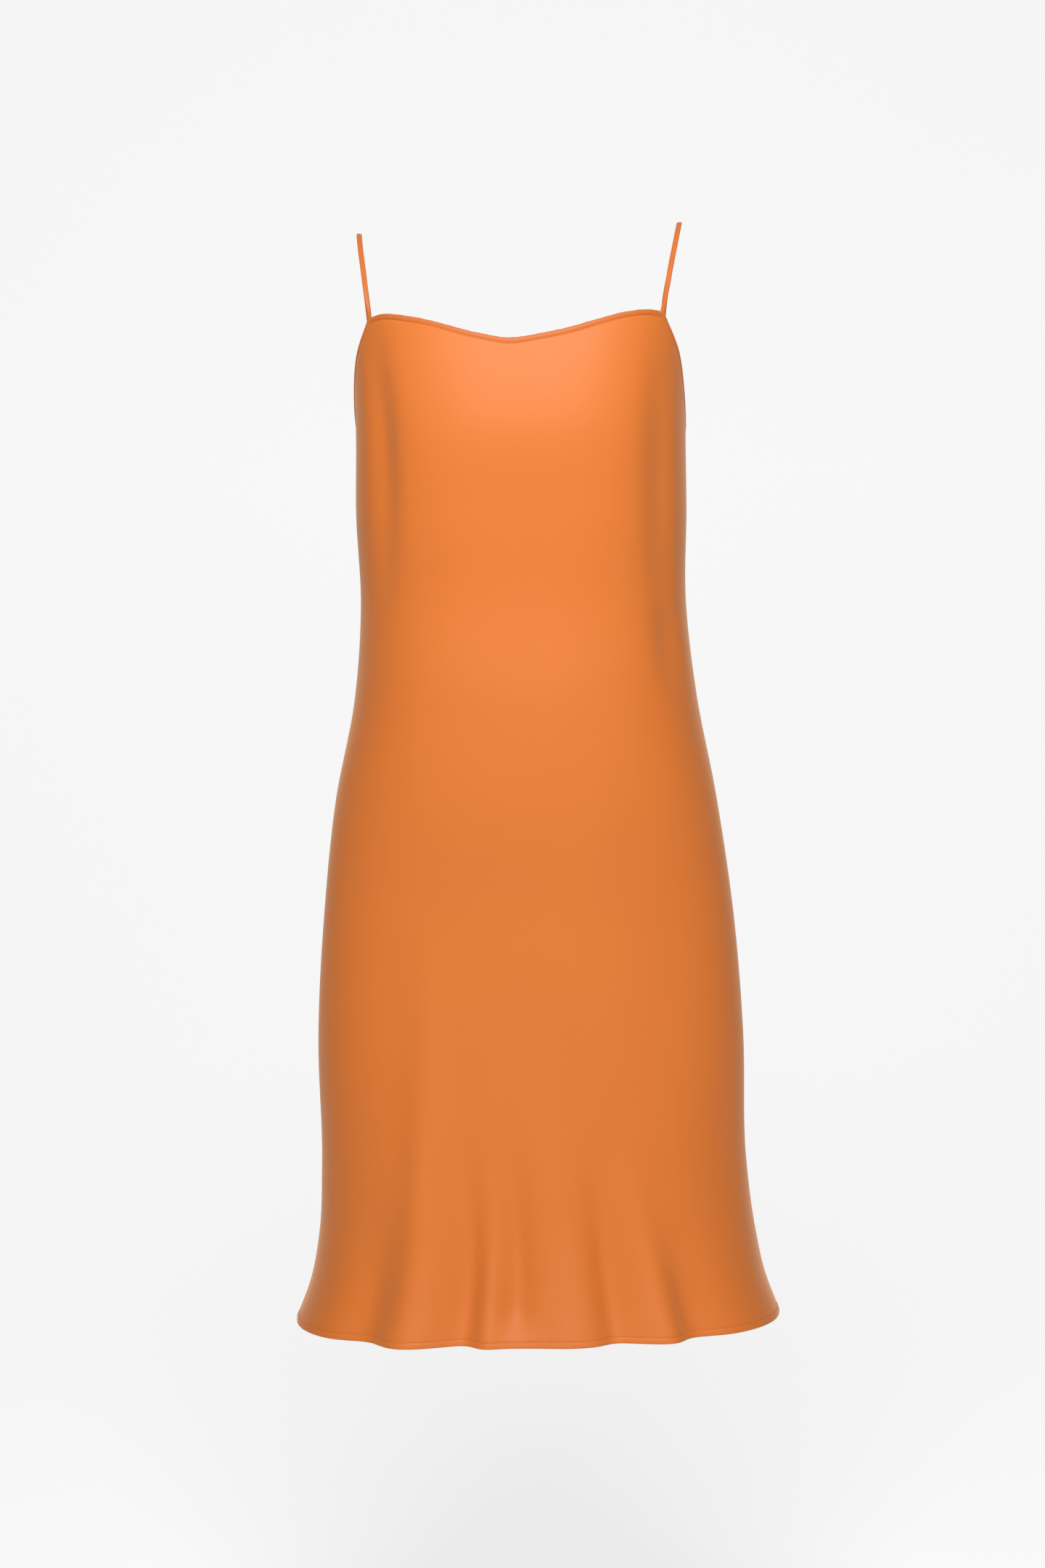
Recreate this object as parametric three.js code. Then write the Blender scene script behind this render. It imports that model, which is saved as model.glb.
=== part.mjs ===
import * as THREE from 'three';

// A slip dress, empty but filled out as it is worn. Millimetres, +Z up, the front faces -Y.
// Angles go round the body in degrees: 0 is the front centre, 90 the dress's side at +X, 180 the back.

// ---- driving sizes ----
const WALL = 1.4;                 // cloth wall
const SEAM_GAP = 0.3;             // air left between two pieces sewn together
const FACET_ROOM = 0.15;          // more air where two faceted curves run side by side
const BAND_END_GAP = 0.9;         // the neck binding stops this far short of the armhole strip
const HEM_TOP = 6.5;              // height of the narrow turned-up hem
const HEM_EXTRA = 0.9;            // the turn-up lies inside and thickens the wall
const BINDING_WIDE = 5.0;         // folded binding round every top edge
const BINDING_THICK = 2.4;
const STRAP_WIDE = 4.8;
const STRAP_BASE_WIDE = 3.7;      // each strap is drawn narrow where it leaves the front corner
const STRAP_THICK = 1.8;
const STRAP_TAIL = 11;            // strap end sewn down inside the back edge
const CORNER_AT = 64.6;           // front corner, where the neck edge meets the armhole edge
const UNDERARM_Z = -180.5;
const SIDE_AT = 90;               // both side seams
const STRAP_BACK_AT = 119;        // where a strap meets the back edge

// ---- counts ----
const PANEL_COLUMNS = 40;
const EDGE_STEPS = 30;
const ARMHOLE_STEPS = 14;
const STRAP_STEPS = 30;
const NECK_LINE_STEPS = 80;
const SIDE_LINE_STEPS = 120;

// ---- level sections, from just above the front corners down to the hem ----
// half: half the width. shift: sideways lean of the section. front, back: depth from the side line.
// square: 2 is an ellipse, more is boxier. turn: how far the section is turned on the body.
const SECTIONS = [
  { z: -60, half: 151.5, shift: -1.6, front: 92, back: 86, square: 2.7, turn: 3.0 },
  { z: -130, half: 151.2, shift: -1.8, front: 112, back: 95, square: 2.65, turn: 3.0 },
  { z: -186, half: 150.3, shift: -2.2, front: 121, back: 97, square: 2.6, turn: 3.0 },
  { z: -260, half: 151.0, shift: -3.2, front: 118, back: 92, square: 2.6, turn: 2.5 },
  { z: -340, half: 148.9, shift: -3.0, front: 114, back: 84, square: 2.5, turn: 1.5 },
  { z: -430, half: 157.1, shift: -2.6, front: 119, back: 91, square: 2.4, turn: 0.5 },
  { z: -520, half: 174.6, shift: -4.1, front: 117, back: 108, square: 2.4, turn: 0 },
  { z: -620, half: 187.5, shift: -4.0, front: 108, back: 121, square: 2.4, turn: 0 },
  { z: -740, half: 195.8, shift: -5.0, front: 109, back: 119, square: 2.4, turn: 0 },
  { z: -860, half: 196.4, shift: -4.1, front: 118, back: 118, square: 2.4, turn: 0 },
  { z: -925, half: 202.1, shift: -2.2, front: 128, back: 124, square: 2.4, turn: 0 },
  { z: -970, half: 211.4, shift: -2.1, front: 139, back: 133, square: 2.4, turn: 0 },
  { z: -1003, half: 224.0, shift: -2.6, front: 150, back: 143, square: 2.4, turn: 0 },
];

// ---- long soft folds ----
// top, low: where the fold starts and ends. peak: 0 to 1, how far down it is deepest.
// from, to: its angle at top and low. bow: sideways bend half way. out: height, wide: half width in degrees.
const FOLDS = [
  { top: -60, low: -400, peak: 0.40, from: -66, to: -66, bow: 13, out: -5.5, wide: 6 },
  { top: -70, low: -430, peak: 0.45, from: 63, to: 65, bow: -6, out: -4.5, wide: 7 },
  { top: -330, low: -450, peak: 0.42, from: 62, to: 62, bow: 0, out: -4.0, wide: 7 },
  { top: -560, low: -1003, peak: 1.00, from: -44, to: -41, bow: 0, out: 11.0, wide: 7 },
  { top: -780, low: -1003, peak: 1.00, from: -29, to: -27, bow: 0, out: -12.0, wide: 6.5 },
  { top: -840, low: -1003, peak: 1.00, from: -17, to: -18, bow: 0, out: 5.0, wide: 5 },
  { top: -780, low: -1003, peak: 0.85, from: -9, to: -8, bow: 0, out: -7.0, wide: 6 },
  { top: -720, low: -1003, peak: 1.00, from: 9, to: 11, bow: 0, out: 6.0, wide: 11 },
  { top: -800, low: -1003, peak: 1.00, from: 26, to: 27, bow: 0, out: -10.0, wide: 6 },
  { top: -800, low: -1003, peak: 1.00, from: 38, to: 40, bow: 0, out: 9.0, wide: 6 },
  { top: -880, low: -1003, peak: 1.00, from: 50, to: 50, bow: 0, out: -9.0, wide: 6 },
  { top: -850, low: -1003, peak: 1.00, from: -57, to: -55, bow: 0, out: -9.0, wide: 6 },
  { top: -620, low: -1003, peak: 1.00, from: 128, to: 126, bow: 0, out: 10.0, wide: 9 },
  { top: -720, low: -1003, peak: 1.00, from: 149, to: 150, bow: 0, out: -10.0, wide: 8 },
  { top: -660, low: -1003, peak: 1.00, from: 176, to: 172, bow: 0, out: 9.0, wide: 10 },
  { top: -760, low: -1003, peak: 1.00, from: -158, to: -160, bow: 0, out: -11.0, wide: 7 },
  { top: -620, low: -1003, peak: 1.00, from: -135, to: -137, bow: 0, out: 10.0, wide: 8 },
  { top: -800, low: -1003, peak: 1.00, from: -114, to: -112, bow: 0, out: -8.0, wide: 8 },
  { top: -250, low: -440, peak: 0.50, from: 112, to: 112, bow: 0, out: -3.0, wide: 10 },
  { top: -240, low: -430, peak: 0.50, from: -114, to: -112, bow: 0, out: -3.0, wide: 10 },
];

// ---- top edges: the finished edge of the front and the back ----
const NECK_EDGE = [
  { at: -CORNER_AT, z: -84.9 },
  { at: -58.8, z: -81.8 },
  { at: -45.7, z: -85.3 },
  { at: -36.7, z: -90.0 },
  { at: -28.7, z: -95.1 },
  { at: -14.9, z: -102.5 },
  { at: -1.9, z: -106.6 },
  { at: 12.4, z: -103.5 },
  { at: 27.9, z: -97.4 },
  { at: 38.1, z: -91.4 },
  { at: 49.5, z: -85.0 },
  { at: 57.9, z: -82.9 },
  { at: CORNER_AT, z: -84.9 },
];
// From a front corner down the armhole, under the arm and on to the back centre; the same on both sides.
const SIDE_EDGE = [
  { at: CORNER_AT, z: -84.9 },
  { at: 66.8, z: -96.0 },
  { at: 69.7, z: -107.5 },
  { at: 72.9, z: -119.5 },
  { at: 75.6, z: -132.0 },
  { at: 78.8, z: -148.0 },
  { at: 82.4, z: -162.0 },
  { at: 86.0, z: -172.5 },
  { at: SIDE_AT, z: UNDERARM_Z },
  { at: 95, z: -186.0 },
  { at: 105, z: -192.5 },
  { at: STRAP_BACK_AT, z: -198.5 },
  { at: 150, z: -206.0 },
  { at: 180, z: -209.0 },
];

// ---- strap lines from the front corner over the shoulder, before they reach the back edge ----
const STRAP_RIGHT = [
  { x: 131.0, y: -56, z: -66 },
  { x: 135.9, y: -42, z: -42 },
  { x: 140.9, y: -27, z: -21 },
  { x: 144.4, y: -13, z: -6.5 },
  { x: 146.0, y: 0, z: -0.9 },
  { x: 145.6, y: 13, z: -4 },
  { x: 142.9, y: 28, z: -18 },
  { x: 138.2, y: 40, z: -42 },
  { x: 133.6, y: 48, z: -66 },
  { x: 131.0, y: 54, z: -92 },
  { x: 129.2, y: 58, z: -125 },
  { x: 127.6, y: 60.5, z: -160 },
];
const STRAP_LEFT = [
  { x: -138.4, y: -53, z: -66 },
  { x: -140.9, y: -41, z: -44 },
  { x: -143.6, y: -27, z: -24 },
  { x: -145.2, y: -13, z: -10.5 },
  { x: -146.0, y: 0, z: -5.3 },
  { x: -146.3, y: 13, z: -8 },
  { x: -145.7, y: 28, z: -22 },
  { x: -143.7, y: 40, z: -45 },
  { x: -141.6, y: 49, z: -68 },
  { x: -139.4, y: 56, z: -95 },
  { x: -136.4, y: 62, z: -128 },
  { x: -131.5, y: 66.5, z: -162 },
];

const toRadians = (degrees) => degrees * Math.PI / 180;
const mix = (a, b, t) => a + (b - a) * t;
const ease = (t) => {
  const k = Math.min(1, Math.max(0, t));
  return k * k * (3 - 2 * k);
};
const steps = (from, to, count) => Array.from({ length: count + 1 }, (_, i) => mix(from, to, i / count));

// Smooth curve through a table's column, read at a value of its key column.
function readTable(rows, key, name, value) {
  const sorted = rows[0][key] < rows[rows.length - 1][key] ? rows : [...rows].reverse();
  const last = sorted.length - 1;
  const at = Math.min(sorted[last][key], Math.max(sorted[0][key], value));
  let i = 0;
  while (i < last - 1 && at > sorted[i + 1][key]) i += 1;
  const slope = (k) => (sorted[k + 1][name] - sorted[k][name]) / (sorted[k + 1][key] - sorted[k][key]);
  const tangent = (k) => {
    if (k === 0) return slope(0);
    if (k === last) return slope(last - 1);
    const before = sorted[k][key] - sorted[k - 1][key];
    const after = sorted[k + 1][key] - sorted[k][key];
    return (slope(k - 1) * after + slope(k) * before) / (before + after);
  };
  const span = sorted[i + 1][key] - sorted[i][key];
  const t = (at - sorted[i][key]) / span;
  const start = sorted[i][name] * (1 + 2 * t) * (1 - t) ** 2 + tangent(i) * span * t * (1 - t) ** 2;
  return start + sorted[i + 1][name] * t * t * (3 - 2 * t) + tangent(i + 1) * span * t * t * (t - 1);
}

// How far all the folds push the cloth out at an angle and a height.
function foldHeight(at, z) {
  let sum = 0;
  for (const fold of FOLDS) {
    const down = (fold.top - z) / (fold.top - fold.low);
    const rise = ease(down / fold.peak);
    const fall = fold.peak < 1 ? ease((1 - down) / (1 - fold.peak)) : 1;
    const k = Math.min(1, Math.max(0, down));
    const centre = mix(fold.from, fold.to, k) + fold.bow * 4 * k * (1 - k);
    const away = ((at - centre + 540) % 360) - 180;
    sum += fold.out * rise * fall * Math.exp(-((away / fold.wide) ** 2));
  }
  return sum;
}

// Outer face of the cloth.
function formPoint(at, z) {
  const section = (name) => readTable(SECTIONS, 'z', name, z);
  const sin = Math.sin(toRadians(at));
  const cos = Math.cos(toRadians(at));
  const depth = section(cos > 0 ? 'front' : 'back');
  const square = section('square');
  const reach = (Math.abs(sin / section('half')) ** square + Math.abs(cos / depth) ** square) ** (-1 / square);
  const radius = reach + foldHeight(at, z);
  const turn = toRadians(section('turn'));
  const x = radius * sin;
  const y = -radius * cos;
  return new THREE.Vector3(
    x * Math.cos(turn) + y * Math.sin(turn) + section('shift'),
    y * Math.cos(turn) - x * Math.sin(turn),
    z,
  );
}

const slopeRound = (at, z) => formPoint(at + 0.2, z).sub(formPoint(at - 0.2, z)).divideScalar(0.4);
const slopeUp = (at, z) => formPoint(at, z + 0.5).sub(formPoint(at, z - 0.5));
const formNormal = (at, z) => slopeRound(at, z).cross(slopeUp(at, z)).normalize();
const clothPoint = (at, z, out) => formPoint(at, z).addScaledVector(formNormal(at, z), out);

// Moves a place on the cloth by a short step given in space.
function stepOnCloth(place, step) {
  const round = slopeRound(place.at, place.z);
  const up = slopeUp(place.at, place.z);
  const [rr, ru, uu] = [round.dot(round), round.dot(up), up.dot(up)];
  const [sr, su] = [step.dot(round), step.dot(up)];
  const scale = rr * uu - ru * ru;
  return { at: place.at + (sr * uu - su * ru) / scale, z: place.z + (su * rr - sr * ru) / scale };
}

// A line on the cloth at a distance from a tabled edge; into is 1 or -1 and points to the cloth side.
function offsetLine(rows, into, distance, count) {
  const lengths = [0];
  for (let i = 1; i < rows.length; i += 1) {
    const here = formPoint(rows[i].at, rows[i].z);
    lengths.push(lengths[i - 1] + here.distanceTo(formPoint(rows[i - 1].at, rows[i - 1].z)));
  }
  const keyed = rows.map((row, i) => ({ ...row, key: lengths[i] / lengths[rows.length - 1] }));
  const read = (share) => ({
    at: readTable(keyed, 'key', 'at', share),
    z: readTable(keyed, 'key', 'z', share),
  });
  return steps(0, 1, count).map((share) => {
    const place = read(share);
    const before = read(Math.max(0, share - 0.01));
    const after = read(Math.min(1, share + 0.01));
    const along = formPoint(after.at, after.z).sub(formPoint(before.at, before.z));
    const inward = along.cross(formNormal(place.at, place.z)).normalize();
    return stepOnCloth(place, inward.multiplyScalar(into * distance));
  });
}

// The side edge of one side (1 right, -1 left) moved into the cloth; round is the angle from the front.
function sideLine(side, distance) {
  const rows = SIDE_EDGE.map((row) => ({ ...row, at: side * row.at }));
  return offsetLine(rows, side, distance, SIDE_LINE_STEPS).map(({ at, z }) => ({ round: side * at, z }));
}
const CUT_BACK = BINDING_WIDE + SEAM_GAP + FACET_ROOM;
const BAND_END = BINDING_WIDE + BAND_END_GAP;
const sideCut = { 1: sideLine(1, CUT_BACK), [-1]: sideLine(-1, CUT_BACK) };
const bandEndCut = { 1: sideLine(1, BAND_END), [-1]: sideLine(-1, BAND_END) };

// The neck edge moved down by a distance, and the angle where that line meets a line of the armhole.
const neckLine = (distance) => offsetLine(NECK_EDGE, 1, distance, NECK_LINE_STEPS);
function neckEnd(line, side, cut) {
  let near = 50;
  let far = CORNER_AT + 1;
  for (let i = 0; i < 30; i += 1) {
    const middle = (near + far) / 2;
    const z = readTable(line, 'at', 'z', side * middle);
    if (middle < readTable(cut[side], 'z', 'round', z)) near = middle;
    else far = middle;
  }
  return near * side;
}

function solid(points, faces) {
  let volume = 0;
  for (const [a, b, c] of faces) {
    volume += points[a].dot(new THREE.Vector3().crossVectors(points[b], points[c]));
  }
  const flat = faces.flatMap(([a, b, c]) => (volume > 0 ? [a, b, c] : [a, c, b]));
  const geometry = new THREE.BufferGeometry();
  geometry.setAttribute('position', new THREE.Float32BufferAttribute(points.flatMap((p) => p.toArray()), 3));
  geometry.setIndex(flat);
  geometry.computeVertexNormals();
  return geometry;
}

// A wall of cloth from two matching grids of points, its outer and its inner face.
function wallSolid(outer, inner) {
  const rows = outer.length;
  const columns = outer[0].length;
  const points = [...outer.flat(), ...inner.flat()];
  const faces = [];
  const quad = (a, b, c, d) => faces.push([a, b, c], [a, c, d]);
  const id = (layer, row, column) => layer * rows * columns + row * columns + column;
  for (let r = 0; r < rows - 1; r += 1) {
    for (let c = 0; c < columns - 1; c += 1) {
      quad(id(0, r, c), id(0, r, c + 1), id(0, r + 1, c + 1), id(0, r + 1, c));
      quad(id(1, r, c), id(1, r + 1, c), id(1, r + 1, c + 1), id(1, r, c + 1));
    }
    quad(id(0, r, 0), id(0, r + 1, 0), id(1, r + 1, 0), id(1, r, 0));
    quad(id(0, r, columns - 1), id(1, r, columns - 1), id(1, r + 1, columns - 1), id(0, r + 1, columns - 1));
  }
  for (let c = 0; c < columns - 1; c += 1) {
    quad(id(0, 0, c), id(1, 0, c), id(1, 0, c + 1), id(0, 0, c + 1));
    quad(id(0, rows - 1, c), id(0, rows - 1, c + 1), id(1, rows - 1, c + 1), id(1, rows - 1, c));
  }
  return solid(points, faces);
}

// A closed strip from rings of the same number of points.
function stripSolid(rings) {
  const size = rings[0].length;
  const last = (rings.length - 1) * size;
  const faces = [];
  for (let r = 0; r < rings.length - 1; r += 1) {
    for (let k = 0; k < size; k += 1) {
      const next = (k + 1) % size;
      const [a, b] = [r * size + k, r * size + next];
      faces.push([a, b, b + size], [a, b + size, a + size]);
    }
  }
  for (let k = 1; k < size - 1; k += 1) {
    faces.push([0, k + 1, k], [last, last + k, last + k + 1]);
  }
  return solid(rings.flat(), faces);
}

// Pillowed section of a folded band: share 0 is its free edge and 1 its lower edge; out is off the middle.
const BAND_SECTION = [
  { share: 0, out: 0.3 },
  { share: 0.5, out: 0.5 },
  { share: 1, out: 0.3 },
  { share: 1, out: -0.3 },
  { share: 0.5, out: -0.5 },
  { share: 0, out: -0.3 },
];
const bandPoint = (place, out) => clothPoint(place.at, place.z, out * BINDING_THICK - WALL / 2);

function panelWall(places) {
  const inside = (z) => {
    const up = z - HEM_Z;
    return -(up < HEM_TOP + 0.01 ? WALL + HEM_EXTRA : WALL);
  };
  const outer = places.map((row) => row.map(({ at, z }) => formPoint(at, z)));
  const inner = places.map((row) => row.map(({ at, z }) => clothPoint(at, z, inside(z))));
  return wallSolid(outer, inner);
}

const HEM_Z = SECTIONS[SECTIONS.length - 1].z;
const HEM_ROWS = [HEM_Z, HEM_Z + HEM_TOP, HEM_Z + HEM_TOP + 1];
const SKIRT_ROWS = [-968, -930, -880, -820, -750, -680, -600, -520, -450, -390, -330, -270];

// Angle kept free for half the gap of a side seam at a height.
const seamInset = (z) => (SEAM_GAP / 2) / toRadians(1) / readTable(SECTIONS, 'z', 'half', z);

// The cut line of one armhole, read by its share of the way up from the side seam to the front corner.
function armholeCut(side, cornerZ) {
  const keyed = sideCut[side].map((row, i) => ({ ...row, key: i }));
  const seam = readTable(keyed, 'round', 'key', SIDE_AT - seamInset(UNDERARM_Z));
  const corner = readTable(keyed, 'z', 'key', cornerZ);
  return (share) => ({
    round: readTable(keyed, 'key', 'round', mix(seam, corner, share)),
    z: readTable(keyed, 'key', 'z', mix(seam, corner, share)),
  });
}

function frontPanel() {
  const neck = neckLine(CUT_BACK);
  const shares = steps(-1, 1, PANEL_COLUMNS);
  const ends = {};
  for (const side of [-1, 1]) {
    const round = Math.abs(neckEnd(neck, side, sideCut));
    const z = readTable(neck, 'at', 'z', side * round);
    ends[side] = { round, z, cut: armholeCut(side, z) };
  }
  const rows = [...HEM_ROWS, ...SKIRT_ROWS, -225].map((z) => shares.map((share) => (
    { at: share * (SIDE_AT - seamInset(z)), z }
  )));
  for (const climb of steps(0, 1, ARMHOLE_STEPS)) {
    rows.push(shares.map((share) => {
      const { round, z, cut } = ends[share < 0 ? -1 : 1];
      const low = cut(0).z;
      const side = cut(climb);
      const lowest = mix(ends[-1].cut(0).z, ends[1].cut(0).z, (share + 1) / 2);
      const top = readTable(neck, 'at', 'z', share * round);
      return { at: share * side.round, z: mix(lowest, top, (side.z - low) / (z - low)) };
    }));
  }
  return panelWall(rows);
}

// Height of a line round the back; along runs from -1 at the right side seam to 1 at the left one.
function backZ(lines, along, inset) {
  const side = along > 0 ? -1 : 1;
  const read = (one) => readTable(lines[one], 'round', 'z', 180 - Math.abs(along) * (SIDE_AT - inset));
  return along === 0 ? (read(1) + read(-1)) / 2 : read(side);
}

function backPanel() {
  const shares = steps(-1, 1, PANEL_COLUMNS);
  const place = (along, z) => ({ at: 180 + along * (SIDE_AT - seamInset(z)), z });
  const rows = [...HEM_ROWS, ...SKIRT_ROWS].map((z) => shares.map((along) => place(along, z)));
  const highest = SKIRT_ROWS[SKIRT_ROWS.length - 1];
  for (const climb of [0.5, 1]) {
    rows.push(shares.map((along) => {
      const top = backZ(sideCut, along, seamInset(UNDERARM_Z));
      return place(along, mix(highest, top, climb));
    }));
  }
  return panelWall(rows);
}

function neckBinding() {
  const lines = BAND_SECTION.map(({ share }) => neckLine(share * BINDING_WIDE));
  const ends = lines.map((line) => (
    { left: neckEnd(line, -1, bandEndCut), right: neckEnd(line, 1, bandEndCut) }
  ));
  return stripSolid(steps(0, 1, EDGE_STEPS).map((along) => BAND_SECTION.map(({ out }, k) => {
    const at = mix(ends[k].left, ends[k].right, along);
    return bandPoint({ at, z: readTable(lines[k], 'at', 'z', at) }, out);
  })));
}

function backBinding() {
  const inset = seamInset(UNDERARM_Z);
  const lines = BAND_SECTION.map(({ share }) => ({
    1: sideLine(1, share * BINDING_WIDE),
    [-1]: sideLine(-1, share * BINDING_WIDE),
  }));
  return stripSolid(steps(-1, 1, EDGE_STEPS).map((along) => BAND_SECTION.map(({ out }, k) => (
    bandPoint({ at: 180 + along * (SIDE_AT - inset), z: backZ(lines[k], along, inset) }, out)
  ))));
}

// One long strip on each side: it binds the front armhole, then runs on over the shoulder as the strap.
function strapStrip(side, line) {
  const seamRound = SIDE_AT - seamInset(UNDERARM_Z);
  const lines = BAND_SECTION.map(({ share }) => {
    const rows = sideLine(side, share * BINDING_WIDE);
    const keyed = rows.map((row, i) => ({ ...row, key: i }));
    return { keyed, seam: readTable(keyed, 'round', 'key', seamRound) };
  });
  const rings = steps(1, 0, ARMHOLE_STEPS).map((along) => BAND_SECTION.map(({ out }, k) => {
    const key = along * lines[k].seam;
    const round = readTable(lines[k].keyed, 'key', 'round', key);
    return bandPoint({ at: side * round, z: readTable(lines[k].keyed, 'key', 'z', key) }, out);
  }));
  const corner = rings[rings.length - 1];
  const start = corner[1].clone().add(corner[4]).multiplyScalar(0.5);
  const edgeZ = readTable(SIDE_EDGE, 'at', 'z', STRAP_BACK_AT);
  const inside = -(WALL / 2 + BINDING_THICK / 2 + SEAM_GAP + STRAP_THICK / 2 + 0.2);
  const end = [9, 0, -STRAP_TAIL].map((up) => (
    clothPoint(side * STRAP_BACK_AT, edgeZ + up, inside - Math.max(0, up) * 0.15)
  ));
  const path = new THREE.CatmullRomCurve3(
    [start, ...line.map(({ x, y, z }) => new THREE.Vector3(x, y, z)), ...end],
    false,
    'centripetal',
  );
  const across = new THREE.Vector3(1, 0, 0);
  const acrossCorner = corner[0].clone().sub(corner[2]).multiplyScalar(side).normalize();
  const acrossBack = slopeRound(side * STRAP_BACK_AT, edgeZ).negate().normalize();
  for (const along of steps(0, 1, STRAP_STEPS).slice(1)) {
    const centre = path.getPointAt(along);
    const tangent = path.getTangentAt(along);
    const level = acrossCorner.clone().lerp(across, ease(along / 0.12));
    level.lerp(acrossBack, ease((along - 0.6) / 0.3));
    level.addScaledVector(tangent, -level.dot(tangent)).normalize();
    const out = level.clone().cross(tangent);
    const wide = mix(STRAP_BASE_WIDE, STRAP_WIDE, ease((along - 0.03) / 0.09)) * side;
    rings.push(BAND_SECTION.map((spot) => centre.clone()
      .addScaledVector(level, (0.5 - spot.share) * wide)
      .addScaledVector(out, spot.out * STRAP_THICK)));
  }
  return stripSolid(rings);
}

const ORANGE = 0xd4702c;
function piece(name, geometry) {
  const material = new THREE.MeshStandardMaterial({ color: ORANGE, roughness: 0.55, metalness: 0 });
  material.name = `${name}_cloth`;
  const mesh = new THREE.Mesh(geometry, material);
  mesh.name = name;
  return mesh;
}

const dress = new THREE.Group();
dress.name = 'slip_dress';
dress.add(
  piece('front_panel', frontPanel()),
  piece('back_panel', backPanel()),
  piece('neck_binding', neckBinding()),
  piece('back_binding', backBinding()),
  piece('strap_binding_left', strapStrip(-1, STRAP_LEFT)),
  piece('strap_binding_right', strapStrip(1, STRAP_RIGHT)),
);

export default dress;
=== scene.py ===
import math
import bpy
import numpy as np
from mathutils import Matrix, Vector


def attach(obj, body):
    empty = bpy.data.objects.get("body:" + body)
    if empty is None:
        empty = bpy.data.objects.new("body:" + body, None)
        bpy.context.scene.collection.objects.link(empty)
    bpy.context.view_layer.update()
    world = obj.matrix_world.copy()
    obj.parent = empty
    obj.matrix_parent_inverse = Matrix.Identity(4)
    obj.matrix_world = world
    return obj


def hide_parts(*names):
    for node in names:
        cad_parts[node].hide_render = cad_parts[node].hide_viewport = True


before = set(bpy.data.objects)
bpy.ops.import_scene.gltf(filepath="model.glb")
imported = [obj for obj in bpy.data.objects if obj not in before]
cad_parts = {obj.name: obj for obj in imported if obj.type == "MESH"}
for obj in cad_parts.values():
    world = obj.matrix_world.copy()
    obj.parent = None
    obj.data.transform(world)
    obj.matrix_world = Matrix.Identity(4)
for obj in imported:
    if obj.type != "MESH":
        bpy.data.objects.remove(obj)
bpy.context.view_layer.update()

# A slip dress, empty but filled out as it is worn. Tables are in millimetres; pieces are made in metres.
# Angles go round the body in degrees: 0 is the front centre, 90 the dress's side at +X, 180 the back.
MM = 0.001
CLOTH = 0.5                # satin and its turnings, as a thin shell
BINDING_WIDE = 5.0
BINDING_TUCK = 0.7         # the panel's edge goes this far into the binding's fold
STRAP_WIDE = 4.8
STRAP_BASE_WIDE = 3.7
STRAP_FULL = 0.85          # a strap is flatter than the binding
STRAP_TAIL = 11
CORNER_AT = 64.6
SIDE_AT = 90
STRAP_BACK_AT = 119
HEM_STITCH = 5.6           # height of the hem's stitch line over the edge
STITCH_LONG = 2.3
STITCH_PITCH = 2.9
STITCH_THICK = 0.34
STITCH_SHARE = 0.85        # how far across a binding its stitches run, from its free edge
STITCH_CORNER_CLEAR = 3.2  # degrees from the corners to the neck's first and last stitches
STITCH_SEAM_CLEAR = 0.1    # degrees from the seams to the back edge's stitches
HEM_SEAM_CLEAR = 0.4       # and to the hem's
HEM_FULL = 0.45            # the turned-up hem is this much thicker than the cloth
SEAM_GAP = 0.012           # from a panel's side edge to the middle of the seam
BAND_END_TUCK = 0.9        # the neck binding's ends go this far under the armhole strips
UNDERARM_Z = -180.0
TAIL_INSIDE = 3.2          # a strap's sewn end lies this far behind the back's outer face
STRAP_TWIST = 26           # degrees, where a strap leaves the front corner
STRAP_TWIST_AT = 0.045
STRAP_TWIST_LONG = 0.03

# ---- level sections, from just above the front corners down to the hem ----
SECTION = ("z", "half", "shift", "front", "back", "square", "turn")
SECTIONS = [
    (-60, 151.5, -1.6, 92, 86, 2.7, 3.0),
    (-130, 151.2, -1.8, 112, 95, 2.65, 3.0),
    (-186, 150.3, -2.2, 121, 97, 2.6, 3.0),
    (-260, 151.0, -3.2, 118, 92, 2.6, 2.5),
    (-340, 148.9, -3.0, 114, 84, 2.5, 1.5),
    (-430, 157.1, -2.6, 119, 91, 2.4, 0.5),
    (-520, 174.6, -4.1, 117, 108, 2.4, 0),
    (-620, 187.5, -4.0, 108, 121, 2.4, 0),
    (-740, 195.8, -5.0, 109, 119, 2.4, 0),
    (-860, 196.4, -4.1, 118, 118, 2.4, 0),
    (-925, 202.1, -2.2, 128, 124, 2.4, 0),
    (-970, 211.4, -2.1, 139, 133, 2.4, 0),
    (-1003, 224.0, -2.6, 150, 143, 2.4, 0),
]
HEM_Z = SECTIONS[-1][0]

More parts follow.
